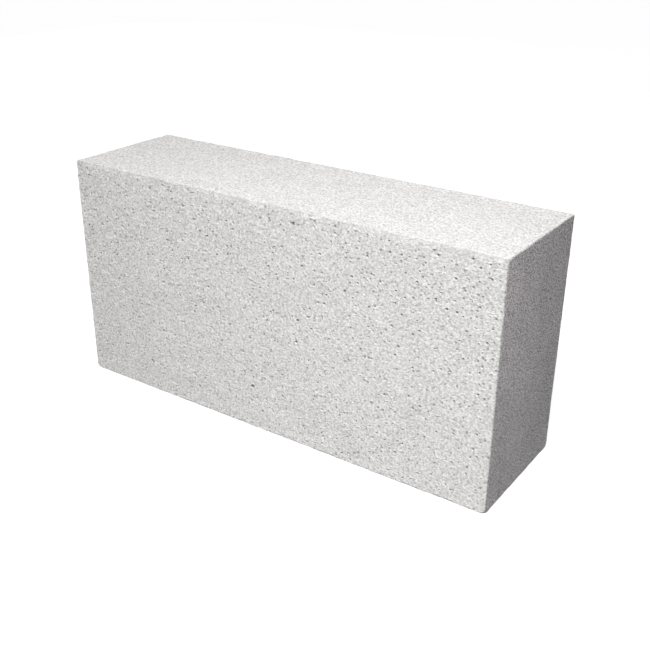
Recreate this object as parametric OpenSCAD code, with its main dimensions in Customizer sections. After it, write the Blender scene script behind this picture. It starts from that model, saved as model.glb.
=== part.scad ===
// Straight insulating firebrick, standing on one of its long narrow faces.
// X runs along the length, Y through the thickness and Z up the width.
// The origin is the centre of the face that the brick stands on.
// Front is -Y, left is -X. All sizes are in millimetres.

/* [Format] */
// Length of the brick, along X
brick_length = 230; // [150:0.5:350]
// Thickness of the brick, along Y
brick_thickness = 65; // [30:0.5:100]
// Width of the brick, which stands upright along Z
brick_width = 114; // [80:0.5:180]

/* [Arrises] */
// Radii of the long arrises, along X: front lower, front upper, back lower, back upper
long_arris_r = [0.7, 1.2, 0.6, 0.6]; // [0.5:0.1:4]
// Radii of the upright arrises, along Z: front left, front right, back left, back right
upright_arris_r = [0.6, 0.7, 0.6, 0.6]; // [0.5:0.1:4]
// Radii of the short arrises, along Y: left lower, left upper, right lower, right upper
short_arris_r = [0.6, 0.6, 0.7, 0.7]; // [0.5:0.1:4]

/* [Bruised corners] */
// Depth knocked off the front corners: left lower, left upper, right lower, right upper
front_corner_bruise = [1.0, 0.7, 1.2, 0.8]; // [0.6:0.1:3]
// Depth knocked off the back corners: left lower, left upper, right lower, right upper
back_corner_bruise = [0.7, 0.6, 0.9, 0.6]; // [0.6:0.1:3]
// Radius of the surface that a knock leaves on a corner, as a multiple of its depth
bruise_roundness = 4.5; // [4.5:0.5:8]

/* [Hidden] */

fired_clay = [0.86, 0.85, 0.84];
cut_margin = 0.5;
arc_fn = 64;

// The two ends of every axis: low side first, then high side
sides = [-1, 1];
// Unit diagonal of a cube, which points from a corner into the brick
diagonal = 1 / sqrt(3);

// The sliver between a sharp corner at the origin and an arc of radius r that eases it.
// The brick lies towards +X and +Y.
module arris_waste(r) {
    difference() {
        translate([-cut_margin, -cut_margin]) square(r + cut_margin);
        translate([r, r]) circle(r, $fn = arc_fn);
    }
}

// Rectangle a by b about the origin with each corner eased by its own radius.
// The radii run low a low b, low a high b, high a low b, high a high b.
module eased_section(a, b, radii) {
    difference() {
        square([a, b], center = true);
        for (i = [0, 1], j = [0, 1])
            translate([sides[i] * a / 2, sides[j] * b / 2])
                mirror([i, 0])
                    mirror([0, j])
                        arris_waste(radii[2 * i + j]);
    }
}

// The block that its long arrises bound: a YZ section swept along the length
module long_sweep() {
    rotate([90, 0, 90])
        linear_extrude(brick_length, center = true)
            eased_section(brick_thickness, brick_width, long_arris_r);
}

// The block that its upright arrises bound: an XY section swept up the width
module upright_sweep() {
    linear_extrude(brick_width, center = true)
        eased_section(
            brick_length,
            brick_thickness,
            [upright_arris_r[0], upright_arris_r[2], upright_arris_r[1], upright_arris_r[3]]
        );
}

// The block that its short arrises bound: an XZ section swept through the thickness
module short_sweep() {
    rotate([90, 0, 0])
        linear_extrude(brick_thickness, center = true)
            eased_section(brick_length, brick_width, short_arris_r);
}

// What a knock takes off a corner at the origin of a brick that lies towards +X, +Y and +Z:
// the tip that stands outside a ball which passes the corner at the depth of the knock
module corner_waste(depth) {
    ball_r = bruise_roundness * depth;
    ball_centre = (ball_r + depth) * diagonal;
    difference() {
        translate(-cut_margin * [1, 1, 1]) cube(ball_centre + cut_margin);
        translate(ball_centre * [1, 1, 1]) sphere(ball_r, $fn = arc_fn);
    }
}

// One knock on every corner of the brick
module bruised_corners() {
    for (i = [0, 1], j = [0, 1], k = [0, 1])
        translate([
            sides[i] * brick_length / 2,
            sides[j] * brick_thickness / 2,
            sides[k] * brick_width / 2
        ])
            mirror([i, 0, 0]) mirror([0, j, 0]) mirror([0, 0, k])
                corner_waste((j == 0 ? front_corner_bruise : back_corner_bruise)[2 * i + k]);
}

// The whole brick: one pressed, fired and ground piece with no frog, core or hole
module brick() {
    color(fired_clay)
        translate([0, 0, brick_width / 2])
            difference() {
                intersection() {
                    long_sweep();
                    upright_sweep();
                    short_sweep();
                }
                bruised_corners();
            }
}

brick();
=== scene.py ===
"""A straight insulating firebrick: one porous, fired block that stands on a long narrow face.

The block is one closed mesh. It starts as a sharp box that is cut into small cells. Formulas on
whole arrays then round its arrises, knock its corners, open its pores and roughen its skin.
All sizes are in metres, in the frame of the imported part: +X runs along the length, -Y points to
the front, +Z points up, and the origin lies under the middle of the block.
"""

from __future__ import annotations

import logging
import math
from dataclasses import dataclass, field
from enum import Enum

import bpy
import numpy as np
from mathutils import Matrix, Vector

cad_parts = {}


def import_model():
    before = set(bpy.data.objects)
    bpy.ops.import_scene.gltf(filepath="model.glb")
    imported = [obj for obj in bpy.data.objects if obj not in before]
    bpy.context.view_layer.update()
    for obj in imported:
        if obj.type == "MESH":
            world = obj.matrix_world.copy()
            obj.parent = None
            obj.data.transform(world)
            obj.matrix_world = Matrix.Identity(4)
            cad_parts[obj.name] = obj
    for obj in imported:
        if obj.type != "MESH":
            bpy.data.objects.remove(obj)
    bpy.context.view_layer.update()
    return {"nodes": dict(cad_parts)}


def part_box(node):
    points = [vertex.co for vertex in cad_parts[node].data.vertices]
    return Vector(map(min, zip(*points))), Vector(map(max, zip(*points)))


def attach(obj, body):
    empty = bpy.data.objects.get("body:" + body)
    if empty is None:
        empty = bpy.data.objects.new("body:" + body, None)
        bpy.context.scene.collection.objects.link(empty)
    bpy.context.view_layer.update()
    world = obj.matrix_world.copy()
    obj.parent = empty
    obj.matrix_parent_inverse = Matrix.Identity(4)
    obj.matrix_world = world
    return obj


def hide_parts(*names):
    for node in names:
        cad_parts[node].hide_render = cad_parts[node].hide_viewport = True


LOG = logging.getLogger("firebrick")
MM = 0.001
SEED = 41
Array = np.ndarray


class Side(Enum):
    """The six sides of the block: the axis that a side faces along, and if it is the high end."""

    FRONT = (1, False)
    BACK = (1, True)
    LEFT = (0, False)
    RIGHT = (0, True)
    BOTTOM = (2, False)
    TOP = (2, True)

    @property
    def axis(self) -> int:
        """Axis that the side faces along: 0, 1 or 2."""
        return self.value[0]

    @property
    def high(self) -> bool:
        """True on the side at the high end of its axis."""
        return self.value[1]

    @property
    def across(self) -> tuple[int, int]:
        """The two axes in the side, in the order that makes a right-handed turn with its own."""
        return (self.axis + 1) % 3, (self.axis + 2) % 3


@dataclass(frozen=True)
class Skin:
    """How open and how rough one kind of face is.

    The shares are of the places where a pore or a cavity could open. Relief is the depth of the
    pebbly surface, and grit is the largest random depth of a point.
    """

    pore_share: float
    pore_radius: tuple[float, float]
    cavity_share: float
    cavity_radius: tuple[float, float]
    relief: float
    grit: float


BED_SKIN = Skin(
    pore_share=0.82,
    pore_radius=(0.44 * MM, 0.78 * MM),
    cavity_share=0.05,
    cavity_radius=(0.7 * MM, 0.9 * MM),
    relief=0.16 * MM,
    grit=0.15 * MM,
)
STRETCHER_SKIN = Skin(
    pore_share=0.22,
    pore_radius=(0.24 * MM, 0.48 * MM),
    cavity_share=0.02,
    cavity_radius=(0.7 * MM, 0.85 * MM),
    relief=0.11 * MM,
    grit=0.12 * MM,
)
HEADER_SKIN = Skin(
    pore_share=0.16,
    pore_radius=(0.22 * MM, 0.42 * MM),
    cavity_share=0.0,
    cavity_radius=(0.7 * MM, 0.8 * MM),
    relief=0.10 * MM,
    grit=0.18 * MM,
)
# The kind of face on the sides that face along x, y and z
SKINS = {0: HEADER_SKIN, 1: BED_SKIN, 2: STRETCHER_SKIN}


@dataclass(frozen=True)
class PoreForm:
    """How the pores are set out and shaped, on every side of the block.

    Spacings and margins are counted in cells: a spacing is half the width of the square in which
    a pore stands alone, and a margin is how far it keeps from the close lines of the arrises. No
    pore opens within `cavity_yard` of a cavity. Steepness is depth over radius. The floor of a
    cavity has its width, depth and painted shade as shares of those of the whole cavity.
    """

    pore_spacing: int = 2
    pore_margin: int = 1
    pore_steepness: float = 2.5
    cavity_spacing: int = 6
    cavity_margin: int = 2
    cavity_yard: int = 4
    cavity_steepness: float = 1.35
    floor_width: float = 0.62
    floor_depth: float = 0.78
    floor_shade: float = 0.85
    size_power: float = 1.6
    ring_turn: float = 0.2
    ring_reach: tuple[float, float] = (0.86, 1.14)


@dataclass(frozen=True)
class Arrises:
    """The twelve arrises, four along each axis.

    The four values run over the two axes across, in the order low low, low high, high low, high
    high, with the earlier axis of x, y, z first. So radius_x holds front lower, front upper, back
    lower and back upper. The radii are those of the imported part. Wander is the share by which a
    radius grows and shrinks along its arris, and crumb is the depth of the crumbs.
    """

    radius_x: tuple[float, ...] = (0.7 * MM, 1.2 * MM, 0.6 * MM, 0.6 * MM)
    radius_y: tuple[float, ...] = (0.6 * MM, 0.6 * MM, 0.7 * MM, 0.7 * MM)
    radius_z: tuple[float, ...] = (0.6 * MM, 0.6 * MM, 0.7 * MM, 0.6 * MM)
    wander_x: tuple[float, ...] = (0.3, 0.55, 0.3, 0.4)
    wander_y: tuple[float, ...] = (0.3, 0.3, 0.3, 0.2)
    wander_z: tuple[float, ...] = (0.3, 0.3, 0.4, 0.3)
    crumb_x: tuple[float, ...] = (0.12 * MM, 0.50 * MM, 0.12 * MM, 0.15 * MM)
    crumb_y: tuple[float, ...] = (0.12 * MM, 0.15 * MM, 0.12 * MM, 0.15 * MM)
    crumb_z: tuple[float, ...] = (0.12 * MM, 0.12 * MM, 0.25 * MM, 0.10 * MM)
    wander_cell: float = 5.0 * MM
    wander_gain: float = 2.6
    wander_line: float = 0.9
    crumb_cell: float = 2.3 * MM
    crumb_reach: float = 2.0 * MM
    calm_reach: float = 1.6 * MM
    calm_least: float = 0.3
    # How fast the painted shade over the arrises rises off the faces
    mark_gain: float = 5.0

    def table(self, axis: int, name: str) -> Array:
        """Values of one kind for the arrises along an axis, as a 2 by 2 table of low and high."""
        return np.array(getattr(self, f"{name}_{'xyz'[axis]}")).reshape(2, 2)


@dataclass(frozen=True)
class Knocks:
    """The knocked corners: how deep each is, by low and high end of x, y and z, as in the part."""

    front: tuple[float, ...] = (1.0 * MM, 0.7 * MM, 1.2 * MM, 0.8 * MM)
    back: tuple[float, ...] = (0.7 * MM, 0.6 * MM, 0.9 * MM, 0.6 * MM)
    roundness: float = 4.5

    def table(self) -> Array:
        """Depths as a 2 by 2 by 2 table over x, y and z."""
        return np.stack([np.reshape(self.front, (2, 2)), np.reshape(self.back, (2, 2))], axis=1)


class Cells:
    """A sharp box whose six sides are cut into cells by lines that the sides share.

    The lines stand close together beside the arrises and a pitch apart everywhere else. Points
    on the shared edges carry one number, so the surface is closed.
    """

    def __init__(self, half: Array, pitch: float, near: tuple[float, ...]) -> None:
        """Cuts the box.

        Args:
            half: Half sizes of the box along x, y and z.
            pitch: Distance between the lines away from the arrises.
            near: Distances of the lines beside an arris, from that arris.
        """
        self.guard = len(near)
        self.lines = [self._cut(size, pitch, near) for size in half]
        self.counts = np.array([len(line) for line in self.lines])
        self.numbers: dict[Side, Array] = {}
        self._number()

    @staticmethod
    def _cut(size: float, pitch: float, near: tuple[float, ...]) -> Array:
        """Lines along one axis, from -size to size.

        Args:
            size: Half size of the box along the axis.
            pitch: Wanted distance between the lines in the middle.
            near: Distances of the lines beside the two ends.

        Returns:
            The places of the lines, in rising order.
        """
        inner = size - near[-1]
        steps = max(1, round(2 * inner / pitch))
        middle = np.linspace(-inner, inner, steps + 1)
        low = -size + np.array((0.0, *near[:-1]))
        return np.concatenate([low, middle, -low[::-1]])

    def _number(self) -> None:
        """Numbers the points: equal places on two or three sides get one number."""
        keys = []
        for side in Side:
            first, second = side.across
            grid = np.meshgrid(
                np.arange(self.counts[first]), np.arange(self.counts[second]), indexing="ij"
            )
            index = [None, None, None]
            index[side.axis] = np.full_like(grid[0], self.counts[side.axis] - 1 if side.high else 0)
            index[first], index[second] = grid
            keys.append((index[0] * self.counts[1] + index[1]) * self.counts[2] + index[2])
        unique, inverse = np.unique(np.concatenate([k.ravel() for k in keys]), return_inverse=True)
        inverse = inverse.ravel()
        start = 0
        for side, key in zip(Side, keys):
            self.numbers[side] = inverse[start : start + key.size].reshape(key.shape)
            start += key.size
        layer, column = np.divmod(unique, self.counts[2])
        self.index = np.stack([*np.divmod(layer, self.counts[1]), column], axis=1)
        self.points = np.stack([self.lines[a][self.index[:, a]] for a in range(3)], axis=1)

    def inside(self, side: Side) -> Array:
        """Mask over a side's grid of the points that lie past the close lines of its arrises."""
        shape = self.numbers[side].shape
        mask = np.zeros(shape, bool)
        mask[self.guard : shape[0] - self.guard, self.guard : shape[1] - self.guard] = True
        return mask

    def triangles(self, turned: dict[Side, Array]) -> Array:
        """Splits each cell into two triangles that face outwards.

        Args:
            turned: For each side, a mask over its cells: True splits a cell from its low corner
                to its high corner, False along the other diagonal.

        Returns:
            Point numbers of the triangles, three to a row.
        """
        parts = []
        for side, ids in self.numbers.items():
            a, b, c, d = ids[:-1, :-1], ids[1:, :-1], ids[1:, 1:], ids[:-1, 1:]
            up = turned[side]
            one = np.stack([a, b, np.where(up, c, d)], axis=-1).reshape(-1, 3)
            two = np.stack([np.where(up, a, b), c, d], axis=-1).reshape(-1, 3)
            both = np.concatenate([one, two])
            parts.append(both if side.high else both[:, ::-1])
        return np.concatenate(parts)


class Noise:
    """Smooth random values in space.

    Random numbers from 0 to 1 stand at the corners of cubes. Between them the value follows
    3t^2 - 2t^3 along each axis, so it is smooth and has bumps about as wide as a cube.
    """

    def __init__(self, rng: np.random.Generator, cell: float, half: Array) -> None:
        """Draws the corner values.

        Args:
            rng: Source of the random numbers.
            cell: Side of the cubes.
            half: Half sizes of the box that the noise has to cover.
        """
        self.cell = cell
        self.low = -half - cell
        size = np.ceil(2 * half / cell).astype(int) + 4
        self.values = rng.random(tuple(size))

    def at(self, points: Array) -> Array:
        """Values at points, one for each row."""
        place = (points - self.low) / self.cell
        base = np.clip(np.floor(place).astype(int), 0, np.array(self.values.shape) - 2)
        t = np.clip(place - base, 0.0, 1.0)
        t = t * t * (3.0 - 2.0 * t)
        total = np.zeros(len(points))
        for corner in np.ndindex(2, 2, 2):
            weight = np.prod(np.where(np.array(corner) == 1, t, 1.0 - t), axis=1)
            total += weight * self.values[tuple((base + corner).T)]
        return total


def ring(reach: int) -> list[tuple[int, int]]:
    """Steps from a grid point to the points of the square ring around it, in turning order.

    Args:
        reach: Distance of the ring in grid steps.

    Returns:
        Eight steps for each unit of reach. The first points along the first axis.
    """
    east = [(reach, k) for k in range(0, reach + 1)]
    north = [(k, reach) for k in range(reach - 1, -reach - 1, -1)]
    west = [(-reach, k) for k in range(reach - 1, -reach - 1, -1)]
    south = [(k, -reach) for k in range(-reach + 1, reach + 1)]
    rest = [(reach, k) for k in range(-reach + 1, 0)]
    return east + north + west + south + rest


def widest(values: Array, reach: int) -> Array:
    """Largest value within a square of `reach` grid steps around each grid point."""
    for axis in (0, 1):
        pad = [(0, 0), (0, 0)]
        pad[axis] = (reach, reach)
        padded = np.pad(values, pad, constant_values=-1.0)
        size = values.shape[axis]
        shifted = [np.take(padded, range(k, k + size), axis=axis) for k in range(2 * reach + 1)]
        values = np.max(shifted, axis=0)
    return values


def near_any(mask: Array, reach: int) -> Array:
    """True at grid points within `reach` grid steps of a point of the mask."""
    return widest(mask.astype(float), reach) > 0.5


@dataclass
class PorousBlock:
    """The fired block: its cells, and the arrays that turn the sharp box into the weathered brick.

    The place of the large pore is along the length and above the ground. The skin gets a little
    more open from left to right, and less coarse: `openness` and `coarseness` are the values in
    the middle of the length, and they rise or fall by the next value from there to the right end.
    """

    low: Array
    high: Array
    pitch: float = 1.06 * MM
    near: tuple[float, ...] = (0.15 * MM, 0.36 * MM, 0.68 * MM, 1.15 * MM, 1.8 * MM)
    core: float = 2.5 * MM
    shake: float = 0.24 * MM
    arrises: Arrises = field(default_factory=Arrises)
    knocks: Knocks = field(default_factory=Knocks)
    form: PoreForm = field(default_factory=PoreForm)
    large_pore_at: tuple[float, float] = (-7.5 * MM, 22.0 * MM)
    large_pore_radius: float = 1.2 * MM
    pebble_cell: float = 2.2 * MM
    wave_cell: float = 26.0 * MM
    wave_depth: float = 0.10 * MM
    openness: float = 0.80
    openness_rise: float = 0.04
    coarseness: float = 1.15
    coarseness_fall: float = 0.32

    def __post_init__(self) -> None:
        """Cuts the box, draws the noises and sets up the arrays that the other methods fill."""
        self.rng = np.random.default_rng(SEED)
        self.centre = (self.low + self.high) / 2
        self.half = (self.high - self.low) / 2
        self.cells = Cells(self.half, self.pitch, self.near)
        self.flat = self.cells.points.copy()
        self.depth = np.zeros(len(self.flat))
        # Share of painted shade at each point, 1 at the bottom of a pore; the finish darkens the
        # colour by it
        self.pore = np.zeros(len(self.flat))
        self.rims: list[Array] = []
        self.turned = {
            side: self.rng.random(np.array(ids.shape) - 1) < 0.5
            for side, ids in self.cells.numbers.items()
        }
        cells = {
            "wander": self.arrises.wander_cell,
            "crumb": self.arrises.crumb_cell,
            "pebble": self.pebble_cell,
            "wave": self.wave_cell,
        }
        self.noises = {key: Noise(self.rng, cell, self.half) for key, cell in cells.items()}

    def loosen(self) -> None:
        """Moves the points away from the arrises a little within their faces.

        Each point takes a random step of up to `shake` along both axes of its face, so that the
        cells leave no straight lines in the skin.
        """
        for side, ids in self.cells.numbers.items():
            chosen = ids[self.cells.inside(side)]
            for axis in side.across:
                self.flat[chosen, axis] += self.rng.uniform(-self.shake, self.shake, len(chosen))

    def open_pores(self, side: Side) -> int:
        """Opens the pores of one side.

        Random numbers stand at all grid points, and a pore opens where a number is the largest
        in a square around it. So pores keep their distance without forming rows. Wide cavities
        come first and bar the squares around them.

        Args:
            side: The side to work on.

        Returns:
            How many pores and cavities were opened.
        """
        skin = SKINS[side.axis]
        ids = self.cells.numbers[side]
        free = self.cells.inside(side)
        draw = self.rng.random(ids.shape)
        kept = self.rng.random(ids.shape)
        if side is Side.FRONT:
            draw[self._large_pore(side)] = 1.0
            kept[self._large_pore(side)] = 0.0
        openness = self._openness(ids)
        cavities = self._peaks(draw, free, self.form.cavity_spacing)
        cavities &= kept < skin.cavity_share * openness
        cavities &= ~near_any(~free, self.form.cavity_margin)
        free &= ~near_any(cavities, self.form.cavity_yard)
        free &= ~near_any(~self.cells.inside(side), self.form.pore_margin)
        pores = self._peaks(draw, free, self.form.pore_spacing)
        pores &= kept < skin.pore_share * openness
        self._sink_cavities(side, skin, np.argwhere(cavities))
        self._sink_pores(side, skin, np.argwhere(pores))
        return int(cavities.sum() + pores.sum())

    @staticmethod
    def _peaks(draw: Array, free: Array, spacing: int) -> Array:
        """Free grid points whose number is the largest of the free ones within the spacing."""
        return free & (draw == widest(np.where(free, draw, -1.0), spacing))

    def _large_pore(self, side: Side) -> tuple[int, int]:
        """Grid point nearest to the large pore of the front side."""
        wanted = {0: self.large_pore_at[0], 2: self.large_pore_at[1] - self.half[2]}
        return tuple(int(np.abs(self.cells.lines[a] - wanted[a]).argmin()) for a in side.across)

    def _openness(self, ids: Array) -> Array:
        """How open the skin is at grid points: it rises evenly along the length."""
        along = self.cells.points[ids, 0] / self.half[0]
        return self.openness + self.openness_rise * along

    def _radii(self, limits: tuple[float, float], count: int) -> Array:
        """Random radii between two limits, small ones more common: low + span * u^power."""
        share = self.rng.random(count) ** self.form.size_power
        return limits[0] + (limits[1] - limits[0]) * share

    def _sink_pores(self, side: Side, skin: Skin, places: Array) -> None:
        """Sinks small pores: eight neighbours form a round rim and the middle goes down.

        Args:
            side: Side that the pores are on.
            skin: Kind of face.
            places: Grid places of the pores, one to a row.
        """
        ids = self.cells.numbers[side]
        middle = ids[places[:, 0], places[:, 1]]
        radius = self._radii(skin.pore_radius, len(places))
        self._sharpen(self._draw_ring(side, places, 1, radius))
        self.depth[middle] = radius * self.form.pore_steepness
        # The bottom of the pore gets full painted shade
        self.pore[middle] = 1.0
        self._turn_cells(side, places, 1)

    def _sink_cavities(self, side: Side, skin: Skin, places: Array) -> None:
        """Sinks wide pores: a rim of sixteen points, a floor ring of eight and a deep middle.

        Args:
            side: Side that the cavities are on.
            skin: Kind of face.
            places: Grid places of the cavities, one to a row.
        """
        ids = self.cells.numbers[side]
        middle = ids[places[:, 0], places[:, 1]]
        radius = self._radii(skin.cavity_radius, len(places))
        if side is Side.FRONT:
            radius[(places == self._large_pore(side)).all(axis=1)] = self.large_pore_radius
        self._sharpen(self._draw_ring(side, places, 2, radius))
        floor = self._draw_ring(side, places, 1, radius * self.form.floor_width)
        deep = radius * self.form.cavity_steepness
        self.depth[floor] = deep * self.form.floor_depth
        # The floor ring and the middle of a cavity get painted shade
        self.pore[floor] = self.form.floor_shade
        self.depth[middle] = deep
        self.pore[middle] = 1.0
        self._turn_cells(side, places, 2)

    def _draw_ring(self, side: Side, places: Array, reach: int, radius: Array) -> Array:
        """Lays the square ring around each place on an uneven circle about that place.

        The angle of point k is its share of a full turn plus a random start of up to `ring_turn`
        to either side. Its distance from the middle is the radius times a random `ring_reach`.

        Args:
            side: Side that the rings are on.
            places: Grid places of the middles, one to a row.
            reach: Which ring: 1 is the next one out from the middle.
            radius: Radius for each place.

        Returns:
            Point numbers of the rings, one ring to a column.
        """
        ids = self.cells.numbers[side]
        steps = np.array(ring(reach))
        chosen = ids[places[None, :, 0] + steps[:, :1], places[None, :, 1] + steps[:, 1:]]
        middle = ids[places[:, 0], places[:, 1]]
        start = self.rng.uniform(-self.form.ring_turn, self.form.ring_turn, len(places))
        angle = 2 * math.pi * np.arange(len(steps))[:, None] / len(steps) + start
        reached = radius * self.rng.uniform(*self.form.ring_reach, chosen.shape)
        first, second = side.across
        self.flat[chosen, first] = self.flat[middle, first] + reached * np.cos(angle)
        self.flat[chosen, second] = self.flat[middle, second] + reached * np.sin(angle)
        return chosen

    def _sharpen(self, chosen: Array) -> None:
        """Marks the closed rings of points, one to a column, as sharp rims."""
        self.rims.append(np.stack([chosen, np.roll(chosen, -1, axis=0)], axis=-1).reshape(-1, 2))

    def _turn_cells(self, side: Side, places: Array, reach: int) -> None:
        """Splits the cells of each pore along the diagonal that runs towards its middle."""
        for one in range(-reach, reach):
            for two in range(-reach, reach):
                straight = (one >= 0) == (two >= 0)
                self.turned[side][places[:, 0] + one, places[:, 1] + two] = straight

    def shape(self) -> tuple[Array, Array]:
        """Rounds the arrises and knocks the corners.

        Every point runs along the line from a core box, `core` below the faces, out to its place
        on the sharp box. It stops where that line leaves the quarter circle of an arris or the
        ball of a knocked corner. The stop is the larger root of |q + s d|^2 = r^2.

        Returns:
            The stopped points and the outward normals there.
        """
        sign = np.where(self.flat < 0, -1.0, 1.0)
        ends = (sign > 0).astype(int)
        place = np.abs(self.flat)
        core = np.minimum(place, self.half - self.core)
        step = place - core
        reach = np.ones(len(place))
        normal = np.where(np.isclose(place, self.half), 1.0, 0.0)
        for axis in range(3):
            across = [a for a in range(3) if a != axis]
            table = ends[:, across[0]], ends[:, across[1]]
            radius = self.arrises.table(axis, "radius")[table]
            wander = self.arrises.table(axis, "wander")[table]
            radius = radius * (1.0 + wander * self._wander(self.flat, axis))
            centre = self.half[across] - radius[:, None]
            self._stop(core, step, across, centre, radius, reach, normal)
        depth = self.knocks.table()[ends[:, 0], ends[:, 1], ends[:, 2]]
        ball = depth * self.knocks.roundness
        centre = self.half - ((ball + depth) / math.sqrt(3.0))[:, None]
        self._stop(core, step, [0, 1, 2], centre, ball, reach, normal)
        normal /= np.linalg.norm(normal, axis=1, keepdims=True)
        return (core + step * reach[:, None]) * sign, normal * sign

    def _wander(self, points: Array, axis: int) -> Array:
        """Value from -1 to 1 that changes along an arris, and is even across it.

        It is the wander noise on a line beside the arris, spread by the gain about one half.
        """
        along = points * 0.0
        along[:, axis] = points[:, axis]
        for a in range(3):
            if a != axis:
                along[:, a] = np.sign(points[:, a]) * self.half[a] * self.arrises.wander_line
        gain = self.arrises.wander_gain
        return np.clip(self.noises["wander"].at(along) * gain - gain / 2, -1.0, 1.0)

    @staticmethod
    def _stop(
        core: Array,
        step: Array,
        axes: list[int],
        centre: Array,
        radius: Array,
        reach: Array,
        normal: Array,
    ) -> None:
        """Shortens the steps that leave a circle or ball, and turns their normals.

        Args:
            core: Starts of the steps.
            step: The steps.
            axes: Axes that the circle or ball spans.
            centre: Its centre for each point.
            radius: Its radius for each point.
            reach: Share of each step that is left. It is changed.
            normal: Outward normals. They are changed.
        """
        start = core[:, axes] - centre
        move = step[:, axes]
        a = (move**2).sum(axis=1)
        b = 2 * (start * move).sum(axis=1)
        c = (start**2).sum(axis=1) - radius**2
        square = b * b - 4 * a * c
        valid = (a > 0) & (square >= 0)
        share = np.ones(len(a))
        share[valid] = (-b[valid] + np.sqrt(square[valid])) / (2 * a[valid])
        stop = start + move * share[:, None]
        inside = valid & (stop > 0).all(axis=1) & (share < reach) & (share >= 0)
        reach[inside] = share[inside]
        turned = np.zeros_like(normal)
        turned[:, axes] = stop
        normal[inside] = turned[inside]

    def weather(self, points: Array, normal: Array) -> Array:
        """Roughens the skin and crumbles the arrises.

        A point goes in along its normal by the depth of its pore, plus the relief of its kind of
        face times one minus the pebble noise, plus a random share of that face's grit, plus a
        long wave. Relief and grit are multiplied by the coarseness, and grit is calmer beside an
        arris. There a point also goes in by the crumb depth, times twice what the crumb noise has
        above one half, and this fades out over the crumb reach.

        Args:
            points: Points of the rounded block.
            normal: Outward normals there.

        Returns:
            The finished points, about the middle of the block.
        """
        share = normal**2
        coarse = self.coarseness - self.coarseness_fall * points[:, 0] / self.half[0]
        relief = coarse * sum(share[:, axis] * SKINS[axis].relief for axis in range(3))
        grit = coarse * sum(share[:, axis] * SKINS[axis].grit for axis in range(3))
        pebble = self.noises["pebble"].at(points)
        gaps = self.half - np.abs(self.flat)
        gap = np.sort(gaps, axis=1)[:, 1]
        beside = np.clip(1.0 - gap / self.arrises.crumb_reach, 0.0, 1.0)
        crumb = np.clip(self.noises["crumb"].at(points) * 2.0 - 1.0, 0.0, 1.0)
        calm = np.clip(self.arrises.calm_least + gap / self.arrises.calm_reach, 0.0, 1.0)
        inward = relief * (1.0 - pebble) + self.wave_depth * self.noises["wave"].at(points)
        inward += grit * calm * self.rng.random(len(points)) + self.depth
        inward += self._crumb_depth(gaps.argmax(axis=1)) * beside * crumb
        return points - normal * inward[:, None]

    def _crumb_depth(self, along: Array) -> Array:
        """Depth of the crumbs for each point, from the arris that it is nearest to.

        Args:
            along: Axis that the nearest arris of each point runs along.

        Returns:
            The depths.
        """
        ends = (self.flat > 0).astype(int)
        depth = np.zeros(len(along))
        for axis in range(3):
            one, two = (a for a in range(3) if a != axis)
            table = self.arrises.table(axis, "crumb")
            depth = np.where(along == axis, table[ends[:, one], ends[:, two]], depth)
        return depth

    def mesh(self, name: str) -> bpy.types.Object:
        """Builds the block as one closed mesh.

        Args:
            name: Name of the piece.

        Returns:
            The object, at the origin, with its place in its mesh.
        """
        self.loosen()
        for side in Side:
            LOG.info("%s: %d pores", side.name.lower(), self.open_pores(side))
        rounded, normal = self.shape()
        points = self.weather(rounded, normal) + self.centre
        points = np.clip(points, self.low, self.high)
        data = bpy.data.meshes.new(name)
        data.from_pydata(points, [], self.cells.triangles(self.turned))
        data.update()
        data.shade_smooth()
        self._mark(data, normal)
        piece = bpy.data.objects.new(name, data)
        bpy.context.scene.collection.objects.link(piece)
        LOG.info("%s: %d triangles", name, len(data.polygons))
        return piece

    def _mark(self, data: bpy.types.Mesh, normal: Array) -> None:
        """Writes what the finish reads, and sharpens the rims of the pores.

        The shares of the bed and header faces at a point are the squares of its normal along y
        and x. The arris mark is 0 where one share is the whole, and grows as it falls; the finish
        paints shade over the arrises by it. The pore value is the share of painted shade at the
        bottoms of pores.

        Args:
            data: The block's mesh.
            normal: Outward normals of its points.
        """
        share = normal**2
        gain = self.arrises.mark_gain
        values = {
            "pore": self.pore,
            "bed": share[:, 1],
            "header": share[:, 0],
            # The arris mark sets the painted shade over the arrises
            "arris": np.clip(gain - gain * share.max(axis=1), 0.0, 1.0),
        }
        for name, value in values.items():
            layer = data.attributes.new(name, "FLOAT", "POINT")
            layer.data.foreach_set("value", value.astype(np.float32))
        ends = np.empty(len(data.edges) * 2, np.int32)
        data.edges.foreach_get("vertices", ends)
        key = np.array([len(data.vertices), 1], np.int64)
        rims = np.sort(np.concatenate(self.rims).astype(np.int64), axis=1) @ key
        edges = np.sort(ends.reshape(-1, 2).astype(np.int64), axis=1) @ key
        sharp = np.isin(edges, rims)
        layer = data.attributes.new("sharp_edge", "BOOLEAN", "EDGE")
        layer.data.foreach_set("value", sharp)


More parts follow.
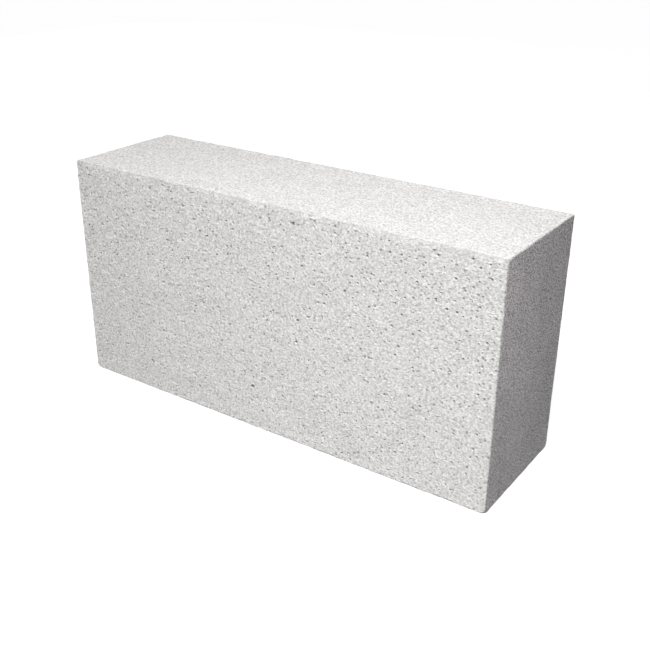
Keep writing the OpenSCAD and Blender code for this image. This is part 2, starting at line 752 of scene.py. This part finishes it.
class Graph:
    """The node tree of a material or world, with short calls that add and join nodes."""

    def __init__(self, owner: bpy.types.Material | bpy.types.World) -> None:
        """Empties the owner's tree.

        Args:
            owner: Material or world whose tree is built.
        """
        owner.use_nodes = True
        self.tree = owner.node_tree
        self.tree.nodes.clear()

    def add(self, kind: str, inputs: dict | None = None, **settings: object) -> bpy.types.Node:
        """Adds a node.

        Args:
            kind: Node type without its prefix, such as TexNoise.
            inputs: Socket name or number to a value, or to a socket to link from.
            settings: Properties of the node.

        Returns:
            The node.
        """
        node = self.tree.nodes.new(f"ShaderNode{kind}")
        for key, value in settings.items():
            setattr(node, key, value)
        for key, value in (inputs or {}).items():
            if isinstance(value, bpy.types.NodeSocket):
                self.tree.links.new(value, node.inputs[key])
            else:
                node.inputs[key].default_value = value
        return node

    def math(
        self, operation: str, *values: object, use_clamp: bool = False
    ) -> bpy.types.NodeSocket:
        """Adds a Math node and returns its result, kept within 0 and 1 if it is clamped."""
        inputs = dict(enumerate(values))
        return self.add("Math", inputs, operation=operation, use_clamp=use_clamp).outputs[0]

    def ramp(self, value: object, low: object, high: object) -> bpy.types.NodeSocket:
        """Value from 0 at `low` to 1 at `high`, with soft ends."""
        inputs = {"Value": value, "From Min": low, "From Max": high}
        return self.add("MapRange", inputs, interpolation_type="SMOOTHSTEP").outputs[0]

    def blend(self, share: object, first: object, second: object) -> bpy.types.NodeSocket:
        """Colour that goes from `first` to `second` as `share` goes from 0 to 1."""
        node = self.add("Mix", {0: share, 6: first, 7: second}, data_type="RGBA")
        return node.outputs[2]

    def lerp(self, share: object, first: object, second: object) -> bpy.types.NodeSocket:
        """Value that goes from `first` to `second` as `share` goes from 0 to 1."""
        return self.add("Mix", {0: share, 2: first, 3: second}).outputs[0]

    def random_cells(self, where: object, cell: float) -> bpy.types.NodeSocket:
        """Random value from 0 to 1 for each of the uneven cells, about `cell` metres wide."""
        cells = self.add("TexVoronoi", {"Vector": where, "Scale": 1.0 / cell})
        return self.add("SeparateColor", {"Color": cells.outputs["Color"]}).outputs[0]

    def multiply(self, first: object, second: object) -> bpy.types.NodeSocket:
        """Product of two colours."""
        inputs = {0: 1.0, 6: first, 7: second}
        return self.add("Mix", inputs, data_type="RGBA", blend_type="MULTIPLY").outputs[2]

    def noise(
        self, where: object, cell: float, detail: float = 0.0, roughness: float = 0.6
    ) -> bpy.types.NodeSocket:
        """Adds a noise texture.

        Args:
            where: Place that the noise is read at.
            cell: Width of its bumps, in metres.
            detail: How many finer layers are added.
            roughness: Strength of each finer layer, as a share of the one before.

        Returns:
            The value, about one half.
        """
        inputs = {"Vector": where, "Scale": 1.0 / cell, "Detail": detail, "Roughness": roughness}
        return self.add("TexNoise", inputs).outputs["Fac"]

    def about_zero(self, value: object, spread: float) -> bpy.types.NodeSocket:
        """Value about one half, moved to lie about zero and multiplied by the spread."""
        return self.math("MULTIPLY_ADD", value, spread, -spread / 2)

    def attribute(self, name: str) -> bpy.types.NodeSocket:
        """Value of a mesh attribute."""
        return self.add("Attribute", attribute_name=name).outputs["Fac"]


@dataclass(frozen=True)
class ByFace:
    """One number for each kind of face, blended over the arrises between them."""

    stretcher: float
    bed: float
    header: float

    def value(self, graph: Graph) -> bpy.types.NodeSocket:
        """The number at a place on the block, from its shares of bed and header face."""
        bed = graph.math(
            "MULTIPLY_ADD", graph.attribute("bed"), self.bed - self.stretcher, self.stretcher
        )
        return graph.math(
            "MULTIPLY_ADD", graph.attribute("header"), self.header - self.stretcher, bed
        )


@dataclass(frozen=True)
class FiredClay:
    """Unglazed white fired clay, chalky and full of fine pinholes.

    The skin goes from the dark to the pale colour. Painted shade darkens the bottoms of pores
    and the pinholes towards the painted pore shade colour, and the arrises are multiplied by a
    grey that paints shade over their highlight. Heights are in millimetres and cells are in
    metres. The radius of a pinhole is a share of its cell, and off the bed faces it is smaller.
    """

    dark: tuple[float, float, float] = (0.32, 0.311, 0.302)
    pale: tuple[float, float, float] = (0.95, 0.945, 0.93)
    # Colour of the painted shade at the bottoms of pores and in the pinholes
    painted_pore_shade: tuple[float, float, float] = (0.31, 0.30, 0.294)
    # Grey that paints shade over the rounded arrises, which hides the highlight the lamps give them
    painted_arris_shade: tuple[float, float, float] = (0.72, 0.715, 0.705)
    # The header faces are paler, partly to keep their mean colour under their stronger contrast and
    # partly as painted light that lifts the shade on them
    paleness: ByFace = ByFace(stretcher=0.71, bed=0.704, header=0.75)
    pore_edge: float = 0.45
    mottle_cell: float = 14.0 * MM
    mottle_spread: float = 0.18
    grain_spread: float = 0.5
    grain_cell: float = 0.62 * MM
    fine_grain_cell: float = 0.5 * MM
    speckle_cell: float = 0.76 * MM
    squash: tuple[float, float, float] = (1.0, 1.0, 1.5)
    contrast: ByFace = ByFace(stretcher=0.88, bed=0.84, header=4.0)
    # Strength of the pebble term: painted shade between the pebbles on the bed faces, random
    # speckle on the others
    pebble_shade_and_speckle: ByFace = ByFace(stretcher=1.3, bed=0.9, header=1.2)
    pebble_cell: float = 1.15 * MM
    pebble_height: ByFace = ByFace(stretcher=0.10, bed=0.15, header=0.15)
    grit_cell: float = 0.55 * MM
    grit_height: ByFace = ByFace(stretcher=0.30, bed=0.34, header=0.8)
    pinhole_cell: float = 2.0 * MM
    pinhole_radius: float = 0.34
    pinhole_power: float = 1.5
    pinhole_edge: float = 0.6
    pinhole_off_bed: float = 0.5
    # Share of the painted shade colour in a pinhole
    pinhole_shade: float = 0.6
    pinhole_height: float = 0.35
    roughness: float = 0.95
    gloss: float = 0.15

    def material(self) -> bpy.types.Material:
        """Builds the finish.

        Returns:
            The material, whose patterns lie on Object coordinates and mesh attributes.
        """
        made = bpy.data.materials.new("fired_clay")
        graph = Graph(made)
        where = graph.add("TexCoord").outputs["Object"]
        pebble = graph.noise(where, self.pebble_cell)
        # Painted shade: the bottoms of pores and the pinholes are darkened towards the shade colour
        pore = graph.ramp(graph.attribute("pore"), 0.0, self.pore_edge)
        pinhole = self._pinholes(graph, where)
        painted_pore_shade = graph.math("MAXIMUM", pore, graph.math("MULTIPLY", pinhole, self.pinhole_shade))
        # Painted shade: the arrises are multiplied by a grey that hides their highlight
        painted_arris_shade = graph.blend(graph.attribute("arris"), (1.0, 1.0, 1.0, 1.0), (*self.painted_arris_shade, 1.0))
        skin = graph.multiply(self._skin(graph, where, pebble), painted_arris_shade)
        colour = graph.blend(painted_pore_shade, skin, (*self.painted_pore_shade, 1.0))
        height = self._height(graph, where, pebble, pinhole)
        bump = graph.add("Bump", {"Strength": 1.0, "Distance": MM, "Height": height})
        inputs = {
            "Base Color": colour,
            "Roughness": self.roughness,
            "Specular IOR Level": self.gloss,
            "Normal": bump.outputs["Normal"],
        }
        surface = graph.add("BsdfPrincipled", inputs)
        graph.add("OutputMaterial", {"Surface": surface.outputs[0]})
        return made

    def _skin(
        self, graph: Graph, where: bpy.types.NodeSocket, pebble: bpy.types.NodeSocket
    ) -> bpy.types.NodeSocket:
        """Colour of the closed skin: single grains, broad mottling, and on the bed faces painted
        shade that is darker in the hollows between the pebbles and paler on their tops.

        Each of the three is a value about one half. Their weighted differences from one half are
        spread about the paleness by the contrast of the kind of face, and pick a colour from
        dark to pale. Off the bed faces the grains are finer, and speckles take the place of the
        pebbles. Both are squashed there.

        Args:
            graph: Node tree to add to.
            where: Place on the block.
            pebble: Height of the pebbles, 0 to 1.

        Returns:
            The colour.
        """
        squash = graph.add("VectorMath", {0: where, 1: self.squash}, operation="MULTIPLY")
        squashed = squash.outputs[0]
        fine = graph.random_cells(squashed, self.fine_grain_cell)
        coarse = graph.random_cells(where, self.grain_cell)
        grain = graph.lerp(graph.attribute("bed"), fine, coarse)
        small = graph.about_zero(grain, self.grain_spread)
        broad = graph.noise(where, self.mottle_cell, detail=2.0)
        large = graph.about_zero(broad, self.mottle_spread)
        speckle = graph.noise(squashed, self.speckle_cell)
        # On the bed faces this follows the pebble height, so it paints shade in the hollows;
        # elsewhere it is random speckle
        spots = graph.lerp(graph.attribute("bed"), speckle, pebble)
        pebble_shade_and_speckle = graph.math("MULTIPLY", graph.about_zero(spots, 1.0), self.pebble_shade_and_speckle.value(graph))
        total = graph.math("ADD", graph.math("ADD", small, large), pebble_shade_and_speckle)
        spread = graph.math("MULTIPLY", total, self.contrast.value(graph))
        share = graph.math("ADD", spread, self.paleness.value(graph), use_clamp=True)
        return graph.blend(share, (*self.dark, 1.0), (*self.pale, 1.0))

    def _pinholes(self, graph: Graph, where: bpy.types.NodeSocket) -> bpy.types.NodeSocket:
        """Mask of the finest pinholes.

        Small balls of random size are scattered in space, and the skin shows where it cuts them.

        Args:
            graph: Node tree to add to.
            where: Place on the block.

        Returns:
            1 inside a pinhole and 0 outside.
        """
        cells = graph.add("TexVoronoi", {"Vector": where, "Scale": 1.0 / self.pinhole_cell})
        chance = graph.add("SeparateColor", {"Color": cells.outputs["Color"]}).outputs[0]
        power = graph.math("POWER", chance, self.pinhole_power)
        size = graph.math("MULTIPLY", power, self.pinhole_radius)
        least = self.pinhole_off_bed
        width = graph.math("MULTIPLY_ADD", graph.attribute("bed"), 1.0 - least, least)
        radius = graph.math("MULTIPLY", size, width)
        edge = graph.math("MULTIPLY", radius, self.pinhole_edge)
        return graph.math("SUBTRACT", 1.0, graph.ramp(cells.outputs["Distance"], edge, radius))

    def _height(
        self,
        graph: Graph,
        where: bpy.types.NodeSocket,
        pebble: bpy.types.NodeSocket,
        pinhole: bpy.types.NodeSocket,
    ) -> bpy.types.NodeSocket:
        """Height of the fine relief in millimetres: pebbles, grit and pinholes, added up."""
        grit = graph.noise(where, self.grit_cell, detail=1.0)
        holes = graph.math("MULTIPLY", pinhole, -self.pinhole_height)
        low = graph.math("MULTIPLY_ADD", pebble, self.pebble_height.value(graph), holes)
        return graph.math("MULTIPLY_ADD", grit, self.grit_height.value(graph), low)


def view_rays(graph: Graph) -> bpy.types.NodeSocket:
    """1 for rays from the camera, in mirrors and through glass, and 0 for rays that carry light."""
    path = graph.add("LightPath").outputs
    seen = graph.math("MAXIMUM", path["Is Camera Ray"], path["Is Glossy Ray"])
    return graph.math("MAXIMUM", seen, path["Is Transmission Ray"])


@dataclass(frozen=True)
class PaleFloor:
    """A plain floor that looks white and keeps a faint shadow, and is grey paper to the light."""

    grey: float = 0.15
    paper: float = 0.9
    shadow_share: float = 0.25
    glow: float = 1.28
    reach: float = 4.0

    def build(self) -> bpy.types.Object:
        """Builds the floor as a flat square with its top at the height of the origin.

        Returns:
            The floor, which isn't part of the block.
        """
        data = bpy.data.meshes.new("floor")
        corners = np.array([[-1, -1, 0], [1, -1, 0], [1, 1, 0], [-1, 1, 0]]) * self.reach
        data.from_pydata(corners, [], [(0, 1, 2, 3)])
        data.materials.append(self.material())
        floor = bpy.data.objects.new("floor", data)
        bpy.context.scene.collection.objects.link(floor)
        return floor

    def material(self) -> bpy.types.Material:
        """Builds the floor's finish: grey to the light, and pale paper under a glow to the viewer.

        The paper's share of the view is the shadow share, so a shadow takes at most that much.

        Returns:
            The material.
        """
        made = bpy.data.materials.new("pale_floor")
        graph = Graph(made)
        matte = graph.add("BsdfDiffuse", {"Color": (self.grey, self.grey, self.grey, 1.0)})
        paper = graph.add("BsdfDiffuse", {"Color": (self.paper, self.paper, self.paper, 1.0)})
        glow = graph.add("Emission", {"Color": (1, 1, 1, 1), "Strength": self.glow})
        inputs = {0: self.shadow_share, 1: glow.outputs[0], 2: paper.outputs[0]}
        white = graph.add("MixShader", inputs)
        inputs = {0: view_rays(graph), 1: matte.outputs[0], 2: white.outputs[0]}
        mixed = graph.add("MixShader", inputs)
        graph.add("OutputMaterial", {"Surface": mixed.outputs[0]})
        return made


@dataclass(frozen=True)
class Lamp:
    """A square soft lamp."""

    name: str
    place: tuple[float, float, float]
    target: tuple[float, float, float]
    side: float
    power: float
    spread: float
    colour: tuple[float, float, float] = (1.0, 1.0, 1.0)

    def build(self) -> bpy.types.Object:
        """Hangs the lamp at its place, facing its target."""
        data = bpy.data.lights.new(self.name, "AREA")
        data.shape = "SQUARE"
        data.size = self.side
        data.energy = self.power
        data.spread = self.spread
        data.color = self.colour
        lamp = bpy.data.objects.new(self.name, data)
        lamp.matrix_world = looking(Vector(self.place), Vector(self.target))
        bpy.context.scene.collection.objects.link(lamp)
        return lamp


def looking(place: Vector, target: Vector, roll: float = 0.0) -> Matrix:
    """Placement of a camera or lamp that looks at a target.

    Args:
        place: Where it stands.
        target: What it looks at.
        roll: Turn about the line of sight, in radians.

    Returns:
        The placement, with -Z towards the target and Y upwards.
    """
    turn = (target - place).to_track_quat("-Z", "Y").to_matrix().to_4x4()
    return Matrix.Translation(place) @ turn @ Matrix.Rotation(roll, 4, "Z")


@dataclass
class Studio:
    """Plain pale studio: floor, white surroundings, three soft lamps and the camera.

    The azimuth of the line of sight turns from the +Y axis towards -X, and the elevation is how
    far the camera looks down.
    """

    camera_place: tuple[float, float, float] = (0.2421, -0.33667, 0.2395)
    azimuth: float = math.radians(34.426)
    elevation: float = math.radians(25.258)
    roll: float = math.radians(0.45)
    lens: float = 52.44
    sensor: float = 36.0
    nearest: float = 0.01
    surround: float = 0.12
    tint: tuple[float, float, float] = (1.02, 0.985, 1.015)
    floor: PaleFloor = field(default_factory=PaleFloor)
    key: Lamp = Lamp(
        name="key_lamp",
        place=(0.27, -0.905, 1.19),
        target=(0.078, -0.08, 0.06),
        side=0.2,
        power=2.35,
        spread=math.radians(54),
    )
    fill: Lamp = Lamp(
        name="fill_lamp",
        place=(-1.0, 1.0, 0.13),
        target=(0.0, 0.0, 0.05),
        side=0.22,
        power=2.6,
        spread=math.radians(120),
    )
    side: Lamp = Lamp(
        name="side_lamp",
        place=(1.25, 0.1, 0.5),
        target=(0.12, -0.065, 0.095),
        side=0.1,
        power=0.012,
        spread=math.radians(11),
        colour=(1.0, 0.84, 0.95),
    )

    def build(self) -> None:
        """Sets up the whole studio."""
        self._camera()
        self._surroundings()
        floor = self.floor.build()
        self.key.build()
        self.fill.build()
        self.side.build()
        bpy.context.scene.view_settings.view_transform = "Standard"

    def _camera(self) -> None:
        """Makes the camera that stands as the photograph's did."""
        data = bpy.data.cameras.new("camera")
        data.lens = self.lens
        data.sensor_width = self.sensor
        data.clip_start = self.nearest
        camera = bpy.data.objects.new("camera", data)
        level = math.cos(self.elevation)
        left, ahead = math.sin(self.azimuth) * level, math.cos(self.azimuth) * level
        sight = Vector((-left, ahead, -math.sin(self.elevation)))
        place = Vector(self.camera_place)
        camera.matrix_world = looking(place, place + sight, self.roll)
        bpy.context.scene.collection.objects.link(camera)
        bpy.context.scene.camera = camera

    def _surroundings(self) -> None:
        """Gives an even dim light from all sides, and white to the viewer."""
        world = bpy.data.worlds.new("surroundings")
        bpy.context.scene.world = world
        graph = Graph(world)
        seen = view_rays(graph)
        strength = graph.math("MULTIPLY_ADD", seen, 1.0 - self.surround, self.surround)
        colour = graph.blend(seen, (*self.tint, 1.0), (1.0, 1.0, 1.0, 1.0))
        light = graph.add("Background", {"Color": colour, "Strength": strength})
        graph.add("OutputWorld", {"Surface": light.outputs[0]})


def main() -> None:
    """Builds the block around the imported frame, and the studio around the block."""
    logging.basicConfig(level=logging.INFO, format="%(name)s: %(message)s")
    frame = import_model()
    low, high = (np.array(corner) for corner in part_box("brick"))
    LOG.info("frame holds %s", sorted(frame["nodes"]))
    Studio().build()
    block = PorousBlock(low, high).mesh("porous_block")
    block.data.materials.append(FiredClay().material())
    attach(block, "root")
    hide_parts("brick")


if __name__ == "__main__":
    main()
